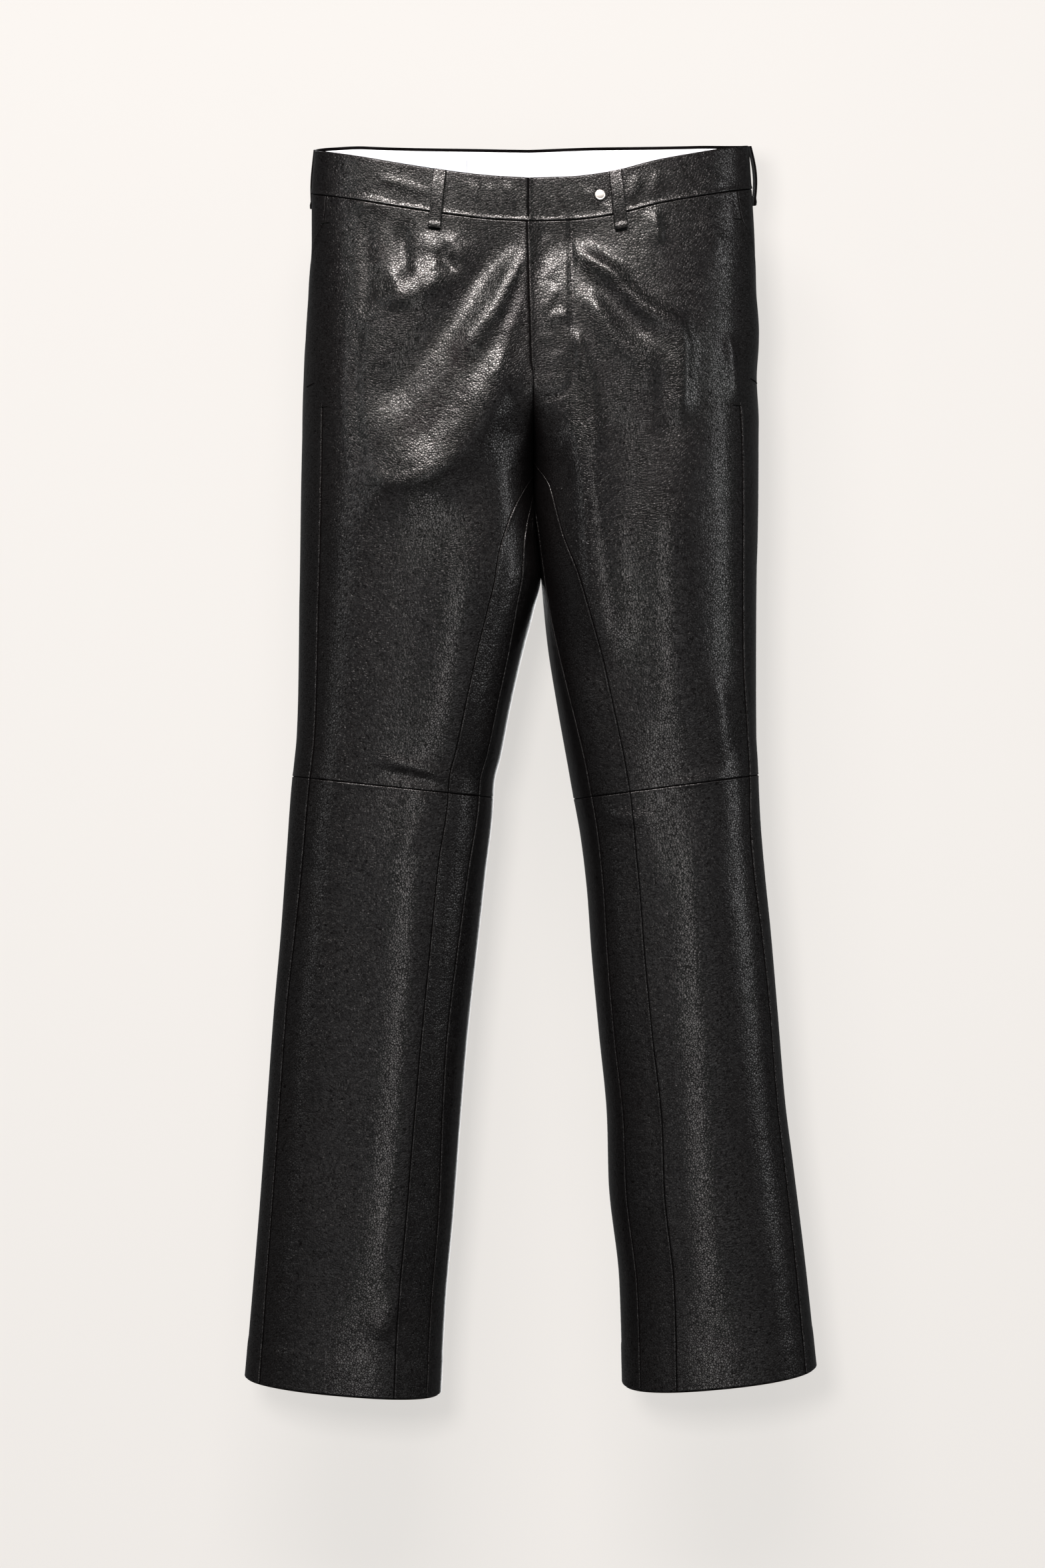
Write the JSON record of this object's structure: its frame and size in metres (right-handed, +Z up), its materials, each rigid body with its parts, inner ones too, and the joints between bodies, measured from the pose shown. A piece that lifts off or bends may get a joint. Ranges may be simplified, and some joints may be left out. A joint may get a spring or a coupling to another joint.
{
  "type": "leather trousers",
  "caption": "Straight mid-rise leather trousers, hollow and filled out, with a snap waistband, belt loops, side pockets, inner leg gussets, slashed side seams and open hems.",
  "frame": {"origin": "centre of the waist opening, level with the waistband's top edge at the sides, which is where the trousers are held up", "axes": "+Z up along the body, -Y the way the front faces, +X to the wearer's left"},
  "size_m": [0.4977, 0.1737, 1.095],
  "materials": {
    "black_leather": "pebbled, semi-matt with a soft sheen on the folds",
    "white_cotton": "plain woven, matt",
    "woven_label": "woven, matt, blank",
    "satin_steel": "satin"
  },
  "bodies": {
    "root": {"front_upper_right": "black_leather", "front_lower_right": "black_leather", "side_lower_right": "black_leather", "gusset_upper_right": "black_leather", "gusset_lower_right": "black_leather", "back_upper_right": "black_leather", "back_lower_right": "black_leather", "waistband_right": "black_leather", "waist_facing_right": "white_cotton", "belt_loop_front_right": "black_leather", "belt_loop_side_right": "black_leather", "front_upper_left": "black_leather", "front_lower_left": "black_leather", "side_lower_left": "black_leather", "gusset_upper_left": "black_leather", "gusset_lower_left": "black_leather", "back_upper_left": "black_leather", "back_lower_left": "black_leather", "waistband_left": "black_leather", "waist_facing_left": "white_cotton", "belt_loop_front_left": "black_leather", "belt_loop_side_left": "black_leather", "waistband_underlap": "black_leather", "blank_label": "woven_label", "belt_loop_back": "black_leather", "snap_cap": "satin_steel"}
  },
  "joints": []
}
